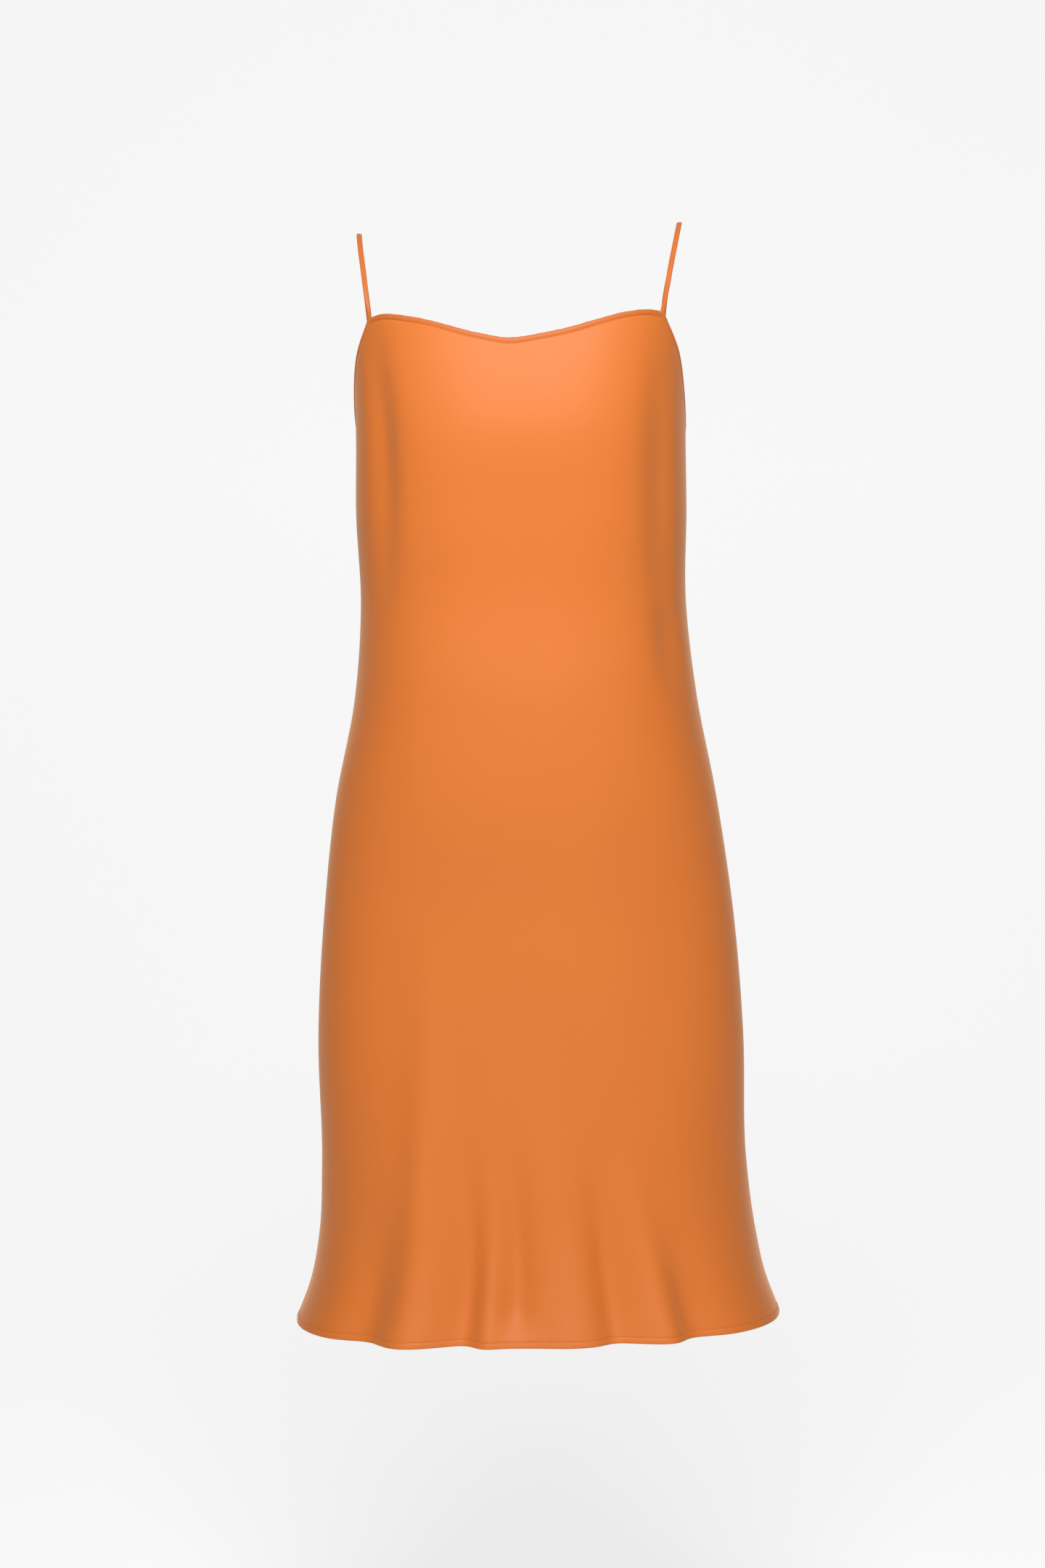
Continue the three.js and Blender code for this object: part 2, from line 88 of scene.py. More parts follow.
# ---- soft folds: top and low ends, where it is deepest, angles at both ends, bend, height, half width ----
FOLD = ("top", "low", "peak", "start", "end", "bow", "out", "wide")
FOLDS = [
    (-60, -400, 0.40, -66, -66, 13, -5.5, 6),
    (-70, -430, 0.45, 63, 65, -6, -4.5, 7),
    (-330, -450, 0.42, 62, 62, 0, -4.0, 7),
    (-560, -1003, 1.00, -44, -41, 0, 11.0, 7),
    (-780, -1003, 1.00, -29, -27, 0, -12.0, 6.5),
    (-840, -1003, 1.00, -17, -18, 0, 5.0, 5),
    (-780, -1003, 0.85, -9, -8, 0, -7.0, 6),
    (-720, -1003, 1.00, 9, 11, 0, 6.0, 11),
    (-800, -1003, 1.00, 26, 27, 0, -10.0, 6),
    (-800, -1003, 1.00, 38, 40, 0, 9.0, 6),
    (-880, -1003, 1.00, 50, 50, 0, -9.0, 6),
    (-850, -1003, 1.00, -57, -55, 0, -9.0, 6),
    (-620, -1003, 1.00, 128, 126, 0, 10.0, 9),
    (-720, -1003, 1.00, 149, 150, 0, -10.0, 8),
    (-660, -1003, 1.00, 176, 172, 0, 9.0, 10),
    (-760, -1003, 1.00, -158, -160, 0, -11.0, 7),
    (-620, -1003, 1.00, -135, -137, 0, 10.0, 8),
    (-800, -1003, 1.00, -114, -112, 0, -8.0, 8),
    (-250, -440, 0.50, 112, 112, 0, -3.0, 10),
    (-240, -430, 0.50, -114, -112, 0, -3.0, 10),
]

# ---- finished top edges ----
EDGE = ("at", "z")
NECK_EDGE = [
    (-CORNER_AT, -84.9), (-58.8, -81.8), (-45.7, -85.3), (-36.7, -90.0), (-28.7, -95.1),
    (-14.9, -102.5), (-1.9, -106.6), (12.4, -103.5), (27.9, -97.4), (38.1, -91.4),
    (49.5, -85.0), (57.9, -82.9), (CORNER_AT, -84.9),
]
SIDE_EDGE = [
    (CORNER_AT, -84.9), (66.8, -96.0), (69.7, -107.5), (72.9, -119.5), (75.6, -132.0),
    (78.8, -148.0), (82.4, -162.0), (86.0, -172.5), (SIDE_AT, -180.5), (95, -186.0),
    (105, -192.5), (STRAP_BACK_AT, -198.5), (150, -206.0), (180, -209.0),
]

# ---- strap lines, from the front corner over the shoulder to the back edge ----
STRAP_RIGHT = [
    (131.0, -56, -66), (135.9, -42, -42), (140.9, -27, -21), (144.4, -13, -6.5),
    (146.0, 0, -0.9), (145.6, 13, -4), (142.9, 28, -18), (138.2, 40, -42),
    (133.6, 48, -66), (131.0, 54, -92), (129.2, 58, -125), (127.6, 60.5, -160),
]
STRAP_LEFT = [
    (-138.4, -53, -66), (-140.9, -41, -44), (-143.6, -27, -24), (-145.2, -13, -10.5),
    (-146.0, 0, -5.3), (-146.3, 13, -8), (-145.7, 28, -22), (-143.7, 40, -45),
    (-141.6, 49, -68), (-139.4, 56, -95), (-136.4, 62, -128), (-131.5, 66.5, -162),
]

# ---- half of a folded band's section: share across it from the free edge, and height off its middle ----
BAND = ("share", "out")
BAND_PROFILE = [
    (0.0, 0.0), (0.03, 0.45), (0.12, 0.78), (0.32, 0.98), (0.58, 0.94), (0.76, 0.72),
    (0.85, 0.48), (0.93, 0.62), (0.98, 0.45), (1.0, 0.12),
]
BAND_LOOP = BAND_PROFILE + [(share, -out) for share, out in BAND_PROFILE[-1:0:-1]]
INNER_EDGE = len(BAND_PROFILE) - 1

# ---- grids: heights of the hem's rows over its edge, and counts ----
HEM_STEPS = [0, 0.4, 1.0, 2.0, 3.0, 4.0, 4.8, 5.3, 5.7, 6.2, 6.9, 7.8, 9.5, 12.5]

FRONT_COLUMNS, BACK_COLUMNS = 200, 180
ROW_STEP = 5.2
ARMHOLE_STEPS = 40
LINE_STEPS = 160
BAND_STEPS = 240
STRAP_STEPS = 200


def read(rows, names, key, name, value):
    """A table's column as a smooth curve over its key column."""
    table = np.array(rows, float)
    keys, values = table[:, names.index(key)], table[:, names.index(name)]
    if keys[0] > keys[-1]:
        keys, values = keys[::-1], values[::-1]
    spans = np.diff(keys)
    slopes = np.diff(values) / spans
    middle = (slopes[:-1] * spans[1:] + slopes[1:] * spans[:-1]) / (spans[:-1] + spans[1:])
    tangents = np.concatenate([slopes[:1], middle, slopes[-1:]])
    at = np.clip(np.asarray(value, float), keys[0], keys[-1])
    i = np.clip(np.searchsorted(keys, at, side="right") - 1, 0, len(keys) - 2)
    t = (at - keys[i]) / spans[i]
    start = values[i] * (1 + 2 * t) * (1 - t) ** 2 + tangents[i] * spans[i] * t * (1 - t) ** 2
    return start + values[i + 1] * t * t * (3 - 2 * t) + tangents[i + 1] * spans[i] * t * t * (t - 1)


def section(name, z):
    """One column of the level sections at a height."""
    return read(SECTIONS, SECTION, "z", name, z)


def ease(t):
    """A smooth step from 0 to 1."""
    t = np.clip(t, 0, 1)
    return t * t * (3 - 2 * t)


def mix(a, b, t):
    return a + (b - a) * t


def fold_height(at, z):
    """How far the soft folds push the cloth out."""
    total = np.zeros(np.broadcast(at, z).shape)
    for row in FOLDS:
        fold = dict(zip(FOLD, row))
        down = (fold["top"] - z) / (fold["top"] - fold["low"])
        weight = ease(down / fold["peak"])
        if fold["peak"] < 1:
            weight = weight * ease((1 - down) / (1 - fold["peak"]))
        k = np.clip(down, 0, 1)
        centre = mix(fold["start"], fold["end"], k) + fold["bow"] * 4 * k * (1 - k)
        away = (at - centre + 540) % 360 - 180
        total = total + fold["out"] * weight * np.exp(-((away / fold["wide"]) ** 2))
    return total


def form(at, z):
    """Outer face of the cloth, in millimetres."""
    at, z = np.broadcast_arrays(np.asarray(at, float), np.asarray(z, float))
    sin, cos = np.sin(np.radians(at)), np.cos(np.radians(at))
    depth = np.where(cos > 0, section("front", z), section("back", z))
    square = section("square", z)
    reach = (np.abs(sin / section("half", z)) ** square + np.abs(cos / depth) ** square) ** (-1 / square)
    radius = reach + fold_height(at, z)
    turn = np.radians(section("turn", z))
    x, y = radius * sin, -radius * cos
    return np.stack([
        x * np.cos(turn) + y * np.sin(turn) + section("shift", z),
        y * np.cos(turn) - x * np.sin(turn),
        z,
    ], -1)


def slopes(at, z):
    """Directions on the cloth: for one degree round it and for one millimetre up it."""
    round_ = (form(at + 0.2, z) - form(at - 0.2, z)) / 0.4
    return round_, form(at, z + 0.5) - form(at, z - 0.5)


def unit(v):
    return v / np.linalg.norm(v, axis=-1, keepdims=True)


def normals(at, z):
    return unit(np.cross(*slopes(at, z)))


def on_cloth(at, z, out):
    """Points at a height over the cloth's outer face."""
    at, z = np.broadcast_arrays(np.asarray(at, float), np.asarray(z, float))
    return form(at, z) + normals(at, z) * np.asarray(out, float)[..., None]


def offset_line(rows, into, distance, count):
    """A line on the cloth at a distance from a tabled edge, as its angles and heights."""
    places = form([row[0] for row in rows], [row[1] for row in rows])
    lengths = np.concatenate([[0], np.cumsum(np.linalg.norm(np.diff(places, axis=0), axis=1))])
    keyed = [(*row, length / lengths[-1]) for row, length in zip(rows, lengths)]
    names = EDGE + ("key",)
    share = np.linspace(0, 1, count + 1)
    at, z = (read(keyed, names, "key", name, share) for name in EDGE)
    low, high = np.maximum(0, share - 0.01), np.minimum(1, share + 0.01)
    ends = [form(*(read(keyed, names, "key", name, s) for name in EDGE)) for s in (low, high)]
    round_, up = slopes(at, z)
    step = unit(np.cross(ends[1] - ends[0], np.cross(round_, up))) * into * distance
    rr, ru, uu = (round_ * round_).sum(-1), (round_ * up).sum(-1), (up * up).sum(-1)
    sr, su = (step * round_).sum(-1), (step * up).sum(-1)
    scale = rr * uu - ru * ru
    return at + (sr * uu - su * ru) / scale, z + (su * rr - sr * ru) / scale


def side_line(side, distance):
    """A line inside the armhole's edge and the back's top edge, with angles counted as on the +X side."""
    rows = [(side * at, z) for at, z in SIDE_EDGE]
    at, z = offset_line(rows, side, distance, LINE_STEPS)
    return side * at, z


def neck_line(distance):
    return offset_line(NECK_EDGE, 1, distance, LINE_STEPS)


def neck_end(line, side, cut):
    """The angle where a neck line meets a line of the armhole."""
    near, far = 50.0, CORNER_AT + 1
    for _ in range(30):
        middle = (near + far) / 2
        z = np.interp(side * middle, *line)
        if middle < np.interp(-z, -cut[1], cut[0]):
            near = middle
        else:
            far = middle
    return near * side


def mesh_object(name, points, faces, uvs):
    """A closed mesh in metres with its faces turned outwards."""
    points = np.asarray(points, float) * MM
    mesh = bpy.data.meshes.new(name)
    mesh.from_pydata(points.tolist(), [], [tuple(f) for f in faces])
    mesh.update()
    layer = mesh.uv_layers.new(name="cut")
    index = np.zeros(len(mesh.loops), dtype=np.int32)
    mesh.loops.foreach_get("vertex_index", index)
    layer.data.foreach_set("uv", (np.asarray(uvs, float) * MM)[index].ravel().astype(np.float32))
    if signed_volume(points, faces) < 0:
        mesh.flip_normals()
    mesh.shade_smooth()
    obj = bpy.data.objects.new(name, mesh)
    bpy.context.scene.collection.objects.link(obj)
    return obj


def signed_volume(points, faces):
    """Six times the volume inside the faces, negative if they are inside out."""
    total = 0.0
    for size in {len(f) for f in faces}:
        ids = np.array([f for f in faces if len(f) == size])
        for i in range(1, size - 1):
            a, b, c = points[ids[:, 0]], points[ids[:, i]], points[ids[:, i + 1]]
            total += (a * np.cross(b, c)).sum()
    return total


def shell(name, outer, inner, uv):
    """A thin closed shell from two matching grids."""
    rows, columns = outer.shape[:2]
    layer = rows * columns
    ids = np.arange(layer).reshape(rows, columns)
    a, b, c, d = ids[:-1, :-1], ids[:-1, 1:], ids[1:, 1:], ids[1:, :-1]
    faces = np.stack([a, b, c, d], -1).reshape(-1, 4).tolist()
    faces += (np.stack([a, d, c, b], -1).reshape(-1, 4) + layer).tolist()
    border = np.concatenate([ids[0, :-1], ids[:-1, -1], ids[-1, :0:-1], ids[:0:-1, 0]])
    after = np.roll(border, -1)
    faces += np.stack([after, border, border + layer, after + layer], -1).tolist()
    points = np.concatenate([outer.reshape(-1, 3), inner.reshape(-1, 3)])
    flat = uv.reshape(-1, 2)
    return mesh_object(name, points, faces, np.concatenate([flat, flat]))


def strip(name, rings):
    """A closed strip from rings of points."""
    rings = np.asarray(rings)
    count, size = rings.shape[:2]
    faces = []
    for k in range(size):
        following = (k + 1) % size
        for r in range(count - 1):
            a, b = r * size + k, r * size + following
            faces.append((a, b, b + size, a + size))
    faces.append(tuple(range(size - 1, -1, -1)))
    faces.append(tuple(range((count - 1) * size, count * size)))
    lengths = np.concatenate([[0], np.cumsum(np.linalg.norm(np.diff(rings.mean(1), axis=0), axis=1))])
    shares = np.abs(np.linspace(-1, 1, size)) * BINDING_WIDE
    uv = np.stack(np.broadcast_arrays(lengths[:, None], shares[None, :]), -1)
    return mesh_object(name, rings.reshape(-1, 3), faces, uv.reshape(-1, 2))


# ---- small relief of sewn cloth ----
def hem_relief(up):
    """The turned-up hem stands a little proud below its stitch line."""
    bulge = 0.28 * ease(up / 1.0) * ease((HEM_STITCH - up) / 1.6)
    ditch = -0.32 * np.exp(-((up - HEM_STITCH) / 0.55) ** 2)
    roll = -0.35 * (1 - ease(up / 0.8))
    return bulge + ditch + roll


def seam_relief(at, z):
    """Cloth rolls in at the side seams."""
    away = np.abs(np.abs((at + 180) % 360 - 180) - SIDE_AT) * np.radians(section("half", z))
    return -0.55 * np.exp(-(away / 0.9) ** 2) + 0.12 * np.exp(-((away - 3.2) / 1.6) ** 2)


def ripple(at, z):
    """Long uneven waves that limp satin keeps when nothing pulls it flat."""
    skirt = ease((-300 - z) / 500)
    wave = np.sin(np.radians(at * 5.3 + z * 0.11 + 40)) * np.sin(np.radians(z * 0.55 + at * 1.7))
    fine = np.sin(np.radians(at * 11.7 - z * 0.31 + 110)) * np.sin(np.radians(z * 0.9 - at * 2.3 + 75))
    return (0.25 + 0.55 * skirt) * wave + (0.12 + 0.2 * skirt) * fine


def pucker(at, up):
    """Small gathers along the hem's stitches."""
    near = np.exp(-((up - HEM_STITCH) / 5.0) ** 2)
    long = np.sin(np.radians(at * 61)) * np.sin(np.radians(at * 23 + 50))
    short = 0.5 * np.sin(np.radians(at * 97 + 20))
    return 0.16 * near * (long + short)


def relief(at, z):
    up = z - HEM_Z
    return hem_relief(up) + seam_relief(at, z) + ripple(at, z) + pucker(at, up)


# ---- panels ----
def seam_gap(z):
    """The seam's gap as an angle."""
    return SEAM_GAP / np.radians(section("half", z))


def panel(name, at, z):
    """A panel from its grid of angles and heights, with the cut cloth's own measures as its UV map."""
    out = relief(at, z)
    up = z - HEM_Z
    thick = CLOTH + HEM_FULL * ease((HEM_STITCH + 0.6 - up) / 0.6)
    outer, inner = on_cloth(at, z, out), on_cloth(at, z, out - thick)
    across = np.linalg.norm(np.diff(outer, axis=1), axis=2)
    u = np.concatenate([np.zeros((len(at), 1)), np.cumsum(across, axis=1)], 1)
    u -= u[:, u.shape[1] // 2][:, None]
    return shell(name, outer, inner, np.stack([u, z], -1))


def low_rows(top):
    """Heights from the hem up: close together at the hem, even above it."""
    heights = [HEM_Z + step for step in HEM_STEPS]
    plain = np.linspace(heights[-1] + ROW_STEP, top, int((top - heights[-1]) / ROW_STEP))
    return np.array(heights + list(plain))


TUCK = BINDING_WIDE - BINDING_TUCK
side_cut = {side: side_line(side, TUCK) for side in (-1, 1)}
band_cut = {side: side_line(side, BINDING_WIDE - BAND_END_TUCK) for side in (-1, 1)}


def front_panel():
    share = np.linspace(-1, 1, FRONT_COLUMNS + 1)
    neck = neck_line(TUCK)
    seam = SIDE_AT - seam_gap(UNDERARM_Z)
    sides = {}
    for side, (round_, z) in side_cut.items():
        keys = np.arange(len(z))
        corner = neck_end(neck, side, side_cut[side])
        corner_z = np.interp(corner, *neck)
        span = np.linspace(np.interp(seam, round_, keys), np.interp(-corner_z, -z, keys), ARMHOLE_STEPS + 1)
        sides[side] = (abs(corner), corner_z, np.interp(span, keys, round_), np.interp(span, keys, z))
    left = share < 0
    corner_at, corner_z = [np.where(left, sides[-1][i], sides[1][i]) for i in (0, 1)]
    edge_at, edge_z = [np.where(left, sides[-1][i][:, None], sides[1][i][:, None]) for i in (2, 3)]
    lowest = mix(sides[-1][3][0], sides[1][3][0], (share + 1) / 2)
    top = np.interp(share * corner_at, *neck)
    climb = (edge_z - edge_z[:1]) / (corner_z - edge_z[:1])
    upper_at, upper_z = share * edge_at, mix(lowest, top, climb)
    low = low_rows(lowest.min() - ROW_STEP)[:, None]
    low_at = share * (SIDE_AT - seam_gap(low))
    low_z = np.broadcast_to(low, low_at.shape)
    return panel("front_cloth", np.concatenate([low_at, upper_at]), np.concatenate([low_z, upper_z]))


def back_height(lines, along, gap):
    """Height of a line along the back's top edge; along runs from -1 to 1, seam to seam."""
    round_ = 180 - np.abs(along) * (SIDE_AT - gap)
    heights = {side: np.interp(round_, *line) for side, line in lines.items()}
    return np.where(along > 0, heights[-1], np.where(along < 0, heights[1], (heights[1] + heights[-1]) / 2))


def back_panel():
    along = np.linspace(-1, 1, BACK_COLUMNS + 1)
    edge = back_height(side_cut, along, seam_gap(UNDERARM_Z))
    low = low_rows(edge.min() - 22)
    level = np.broadcast_to(low[:, None], (len(low), len(along)))
    climb = np.linspace(0, 1, 9)[1:, None]
    z = np.concatenate([level, mix(low[-1], edge[None, :], climb)])
    return panel("back_cloth", 180 + along * (SIDE_AT - seam_gap(z)), z)


# ---- bindings and straps ----
def band_rings(place):
    """Rings of points round a folded band; place(share) gives its angles and heights."""
    return np.stack([on_cloth(*place(share), out - CLOTH / 2) for share, out in BAND_LOOP], 1)


def wobble(along, seed):
    """Slight unevenness of a hand-guided edge."""
    long = 0.22 * np.sin(along * 83 + seed) * np.sin(along * 31 + 2 * seed)
    return long + 0.12 * np.sin(along * 190 + seed)


def neck_binding():
    along = np.linspace(0, 1, BAND_STEPS + 1)

    def place(share):
        line = neck_line(share * BINDING_WIDE)
        ends = [neck_end(line, side, band_cut[side]) for side in (-1, 1)]
        at = mix(ends[0], ends[1], along)
        return at, np.interp(at, *line) + wobble(along, 1.3) * (1 - share) * 0.6
    return strip("neck_band", band_rings(place))


def back_binding():
    along = np.linspace(-1, 1, BAND_STEPS + 1)
    gap = seam_gap(UNDERARM_Z)

    def place(share):
        lines = {side: side_line(side, share * BINDING_WIDE) for side in (-1, 1)}
        return 180 + along * (SIDE_AT - gap), back_height(lines, along, gap)
    return strip("back_band", band_rings(place))


def smooth_path(points, count):
    """A centripetal curve through points, in even steps, with its directions."""
    points = np.array(points, float)
    ends = [2 * points[0] - points[1], 2 * points[-1] - points[-2]]
    padded = np.concatenate([ends[:1], points, ends[1:]])
    samples = []
    for i in range(1, len(padded) - 2):
        p = padded[i - 1:i + 3]
        knots = np.concatenate([[0], np.cumsum(np.linalg.norm(np.diff(p, axis=0), axis=1) ** 0.5)])
        t = np.linspace(knots[1], knots[2], 40, endpoint=i == len(padded) - 3)[:, None]

        def lerp(a, b, low, high):
            return a * (high - t) / (high - low) + b * (t - low) / (high - low)
        a = [lerp(p[k], p[k + 1], knots[k], knots[k + 1]) for k in range(3)]
        b = [lerp(a[0], a[1], knots[0], knots[2]), lerp(a[1], a[2], knots[1], knots[3])]
        samples.append(lerp(b[0], b[1], knots[1], knots[2]))
    curve = np.concatenate(samples)
    lengths = np.concatenate([[0], np.cumsum(np.linalg.norm(np.diff(curve, axis=0), axis=1))])
    at = np.linspace(0, lengths[-1], count + 1)
    even = np.stack([np.interp(at, lengths, curve[:, k]) for k in range(3)], -1)
    return even, unit(np.gradient(even, axis=0))


def strap_strip(side, line):
    """One strip that binds an armhole's front and runs on as the strap, down to its sewn end."""
    seam = SIDE_AT - seam_gap(UNDERARM_Z)
    along = np.linspace(1, 0, 90)

    def place(share):
        round_, z = side_line(side, share * BINDING_WIDE)
        keys = np.arange(len(z))
        key = along * np.interp(seam, round_, keys)
        return side * np.interp(key, keys, round_), np.interp(key, keys, z)
    armhole = band_rings(place)
    corner = armhole[-1]
    start = (corner[0] + corner[INNER_EDGE]) / 2
    edge_z = read(SIDE_EDGE, EDGE, "at", "z", STRAP_BACK_AT)
    tail = [
        on_cloth(side * STRAP_BACK_AT, edge_z + up, -TAIL_INSIDE - max(0, up) * 0.15)
        for up in (9, 0, -STRAP_TAIL)
    ]
    centre, tangent = smooth_path([start, *line, *tail], STRAP_STEPS)
    share = np.linspace(0, 1, STRAP_STEPS + 1)[:, None]
    first = unit(corner[0] - corner[INNER_EDGE]) * side
    last = -unit(slopes(side * STRAP_BACK_AT, edge_z)[0])
    across = mix(mix(first, np.array([1.0, 0, 0]), ease(share / 0.12)), last, ease((share - 0.6) / 0.3))
    twist = np.radians(STRAP_TWIST * np.exp(-((share - STRAP_TWIST_AT) / STRAP_TWIST_LONG) ** 2)) * side
    across = unit(across - (across * tangent).sum(-1, keepdims=True) * tangent)
    out = np.cross(across, tangent)
    across, out = across * np.cos(twist) + out * np.sin(twist), out * np.cos(twist) - across * np.sin(twist)
    wide = mix(STRAP_BASE_WIDE, STRAP_WIDE, ease((share - 0.03) / 0.09)) * side
    strap = np.stack([
        centre + across * (0.5 - spot) * wide + out * height * STRAP_FULL for spot, height in BAND_LOOP
    ], 1)
    name = "strap_right_cloth" if side > 0 else "strap_left_cloth"
    return strip(name, np.concatenate([armhole, strap[1:]]))


# ---- stitches, laid by a node tree on points that carry their directions ----
def stitch_tree():
    tree = bpy.data.node_groups.new("stitches_on_points", "GeometryNodeTree")
    tree.interface.new_socket(name="Geometry", in_out="OUTPUT", socket_type="NodeSocketGeometry")
    tree.interface.new_socket(name="Geometry", in_out="INPUT", socket_type="NodeSocketGeometry")
    sockets = {}
    for name, kind, value in (
        ("Length", "NodeSocketFloat", STITCH_LONG * MM),
        ("Thickness", "NodeSocketFloat", STITCH_THICK * MM),
        ("Unevenness", "NodeSocketFloat", 0.12),
        ("Seed", "NodeSocketInt", 7),
        ("Thread", "NodeSocketMaterial", None),
    ):
        socket = tree.interface.new_socket(name=name, in_out="INPUT", socket_type=kind)
        if value is not None:
            socket.default_value = value
        sockets[name] = socket.identifier
    add = tree.nodes.new
    link = tree.links.new
    inside, outside = add("NodeGroupInput"), add("NodeGroupOutput")
    ball = add("GeometryNodeMeshUVSphere")
    ball.inputs["Segments"].default_value = 6
    ball.inputs["Rings"].default_value = 5
    ball.inputs["Radius"].default_value = 0.5
    along, out = add("GeometryNodeInputNamedAttribute"), add("GeometryNodeInputNamedAttribute")
    for node, name in ((along, "along"), (out, "out")):
        node.data_type = "FLOAT_VECTOR"
        node.inputs["Name"].default_value = name
    turn = add("FunctionNodeAxesToRotation")
    turn.primary_axis, turn.secondary_axis = "X", "Z"
    low, high, chance = add("ShaderNodeMath"), add("ShaderNodeMath"), add("FunctionNodeRandomValue")
    low.operation, high.operation = "SUBTRACT", "ADD"
    chance.data_type = "FLOAT"
    long = add("ShaderNodeMath")
    long.operation = "MULTIPLY"
    size = add("ShaderNodeCombineXYZ")
    place = add("GeometryNodeInstanceOnPoints")
    real, paint = add("GeometryNodeRealizeInstances"), add("GeometryNodeSetMaterial")
    low.inputs[0].default_value = 1.0
    high.inputs[0].default_value = 1.0
    link(inside.outputs["Unevenness"], low.inputs[1])
    link(inside.outputs["Unevenness"], high.inputs[1])
    float_sockets = [s for s in chance.inputs if s.type == "VALUE"]
    link(low.outputs[0], float_sockets[0])
    link(high.outputs[0], float_sockets[1])
    link(inside.outputs["Seed"], chance.inputs["Seed"])
    link(inside.outputs["Length"], long.inputs[0])
    drawn = next(s for s in chance.outputs if s.type == "VALUE")
    link(drawn, long.inputs[1])
    link(long.outputs[0], size.inputs["X"])
    link(inside.outputs["Thickness"], size.inputs["Y"])
    link(inside.outputs["Thickness"], size.inputs["Z"])
    link(along.outputs["Attribute"], turn.inputs["Primary Axis"])
    link(out.outputs["Attribute"], turn.inputs["Secondary Axis"])
    link(inside.outputs["Geometry"], place.inputs["Points"])
    link(ball.outputs["Mesh"], place.inputs["Instance"])
    link(turn.outputs["Rotation"], place.inputs["Rotation"])
    link(size.outputs["Vector"], place.inputs["Scale"])
    link(place.outputs["Instances"], real.inputs["Geometry"])
    link(real.outputs["Geometry"], paint.inputs["Geometry"])
    link(inside.outputs["Thread"], paint.inputs["Material"])
    link(paint.outputs["Geometry"], outside.inputs["Geometry"])
    return tree, sockets


def stitch_run(name, points, out, thread, seed):
    """Stitches along a line of points, with the way out of the cloth at each."""
    lengths = np.concatenate([[0], np.cumsum(np.linalg.norm(np.diff(points, axis=0), axis=1))])
    spots = np.arange(STITCH_PITCH, lengths[-1] - STITCH_PITCH, STITCH_PITCH)
    at = np.stack([np.interp(spots, lengths, points[:, k]) for k in range(3)], -1) * MM
    ahead = unit(np.gradient(at, axis=0))
    up = unit(np.stack([np.interp(spots, lengths, out[:, k]) for k in range(3)], -1))
    mesh = bpy.data.meshes.new(name + "_spots")
    mesh.from_pydata(at.tolist(), [], [])
    for label, values in (("along", ahead), ("out", up)):
        layer = mesh.attributes.new(label, "FLOAT_VECTOR", "POINT")
        layer.data.foreach_set("vector", values.astype(np.float32).ravel())
    obj = bpy.data.objects.new(name, mesh)
    bpy.context.scene.collection.objects.link(obj)
    modifier = obj.modifiers.new("stitches", "NODES")
    modifier.node_group = STITCHES
    modifier[STITCH_SOCKETS["Seed"]] = seed
    modifier[STITCH_SOCKETS["Thread"]] = thread
    depsgraph = bpy.context.evaluated_depsgraph_get()
    made = bpy.data.meshes.new_from_object(obj.evaluated_get(depsgraph), depsgraph=depsgraph)
    made.name = name
    obj.modifiers.clear()
    obj.data = made
    bpy.data.meshes.remove(mesh)
    made.shade_smooth()
    return obj


# ---- cloth materials ----
def satin_group():
    """Bias-turned fine weave and the soft unevenness of the dye: a tone, a roughness and a normal."""
    group = bpy.data.node_groups.new("satin_weave", "ShaderNodeTree")
    for name in ("Tone", "Roughness"):
        group.interface.new_socket(name=name, in_out="OUTPUT", socket_type="NodeSocketFloat")
    group.interface.new_socket(name="Normal", in_out="OUTPUT", socket_type="NodeSocketVector")
    add, link = group.nodes.new, group.links.new
    outside = add("NodeGroupOutput")
    uv = add("ShaderNodeUVMap")
    uv.uv_map = "cut"
    bias = add("ShaderNodeMapping")
    bias.inputs["Rotation"].default_value = (0, 0, math.radians(45))
    link(uv.outputs["UV"], bias.inputs["Vector"])
    waves = []
    for direction, scale in (("X", 430), ("Y", 300)):
        wave = add("ShaderNodeTexWave")
        wave.bands_direction = direction
        wave.inputs["Scale"].default_value = scale
        wave.inputs["Distortion"].default_value = 1.6
        wave.inputs["Detail"].default_value = 1.0
        wave.inputs["Detail Scale"].default_value = 2.0
        link(bias.outputs["Vector"], wave.inputs["Vector"])
        waves.append(wave)
    crepe = add("ShaderNodeTexNoise")
    crepe.inputs["Scale"].default_value = 2100
    crepe.inputs["Detail"].default_value = 2
    link(bias.outputs["Vector"], crepe.inputs["Vector"])
    cross = add("ShaderNodeMath")
    cross.operation = "MULTIPLY"
    link(waves[0].outputs["Fac"], cross.inputs[0])
    link(waves[1].outputs["Fac"], cross.inputs[1])
    height = add("ShaderNodeMath")
    height.operation = "ADD"
    link(cross.outputs[0], height.inputs[0])
    link(crepe.outputs["Fac"], height.inputs[1])
    bump = add("ShaderNodeBump")
    bump.inputs["Strength"].default_value = 0.16
    bump.inputs["Distance"].default_value = 0.00008
    link(height.outputs[0], bump.inputs["Height"])
    link(bump.outputs["Normal"], outside.inputs["Normal"])
    place = add("ShaderNodeTexCoord")
    dye = add("ShaderNodeTexNoise")
    dye.inputs["Scale"].default_value = 9
    dye.inputs["Detail"].default_value = 3
    link(place.outputs["Object"], dye.inputs["Vector"])
    blend = add("ShaderNodeMix")
    blend.data_type = "FLOAT"
    blend.inputs["Factor"].default_value = 0.6
    link(dye.outputs["Fac"], blend.inputs[2])
    link(crepe.outputs["Fac"], blend.inputs[3])
    link(blend.outputs[0], outside.inputs["Tone"])
    rough = add("ShaderNodeMapRange")
    rough.inputs["To Min"].default_value = 0.50
    rough.inputs["To Max"].default_value = 0.62
    link(dye.outputs["Fac"], rough.inputs["Value"])
    link(rough.outputs["Result"], outside.inputs["Roughness"])
    return group


